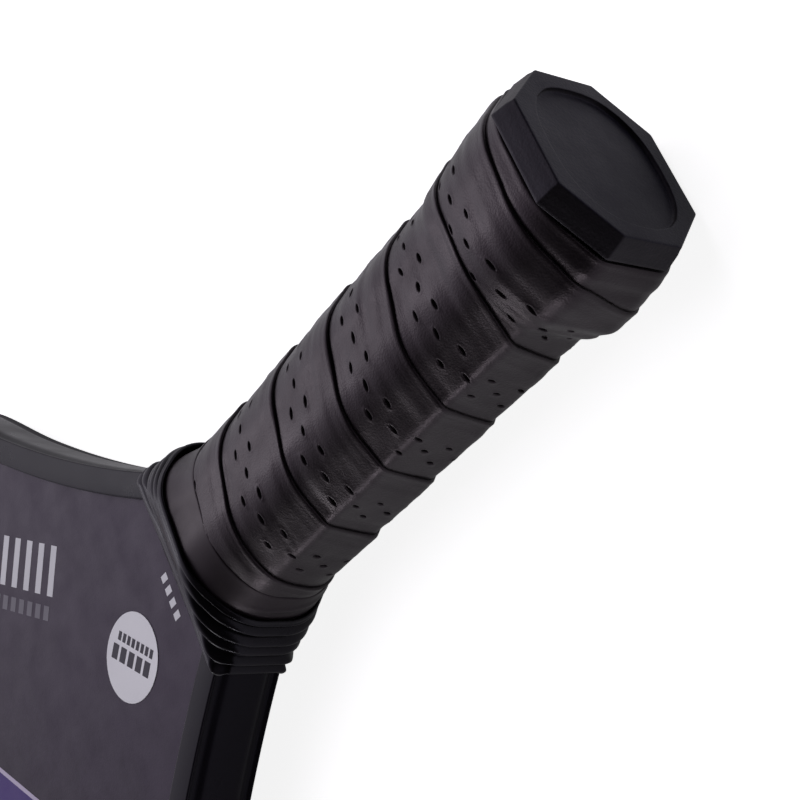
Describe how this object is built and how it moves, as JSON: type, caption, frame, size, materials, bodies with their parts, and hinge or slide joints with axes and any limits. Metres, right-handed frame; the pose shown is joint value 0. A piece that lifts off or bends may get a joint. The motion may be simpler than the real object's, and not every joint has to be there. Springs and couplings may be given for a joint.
{
  "type": "pickleball paddle",
  "caption": "Flat racket with a honeycomb-cored panel, a channel guard round its edge, a rubber throat collar and a spiral-wrapped octagonal handle.",
  "frame": {"origin": "middle of the footprint, at the height of the paddle's lowest point", "axes": "+Z out of the front face, +Y along the paddle from the butt cap to the head, +X across the head"},
  "size_m": [0.2, 0.4, 0.0361],
  "materials": {
    "honeycomb": "matte",
    "scrim": "matte",
    "front_face": "satin",
    "rear_face": "satin",
    "tape": "matte",
    "edge_guard": "semi-gloss",
    "pallet": "matte",
    "butt_cap": "satin",
    "staple": "satin",
    "grip_wrap": "matte",
    "collar": "satin",
    "sticker": "satin"
  },
  "bodies": {
    "root": {"honeycomb_core": "honeycomb", "front_bonding_scrim": "scrim", "rear_bonding_scrim": "scrim", "front_face_sheet": "front_face", "rear_face_sheet": "rear_face", "edge_guard_tape": "tape", "edge_guard": "edge_guard", "front_handle_pallet": "pallet", "rear_handle_pallet": "pallet", "butt_cap": "butt_cap", "cap_staple_right": "staple", "cap_staple_left": "staple", "handle_tape": "tape", "grip_wrap": "grip_wrap", "finishing_tape": "tape", "rubber_collar": "collar", "face_sticker": "sticker"}
  },
  "joints": []
}
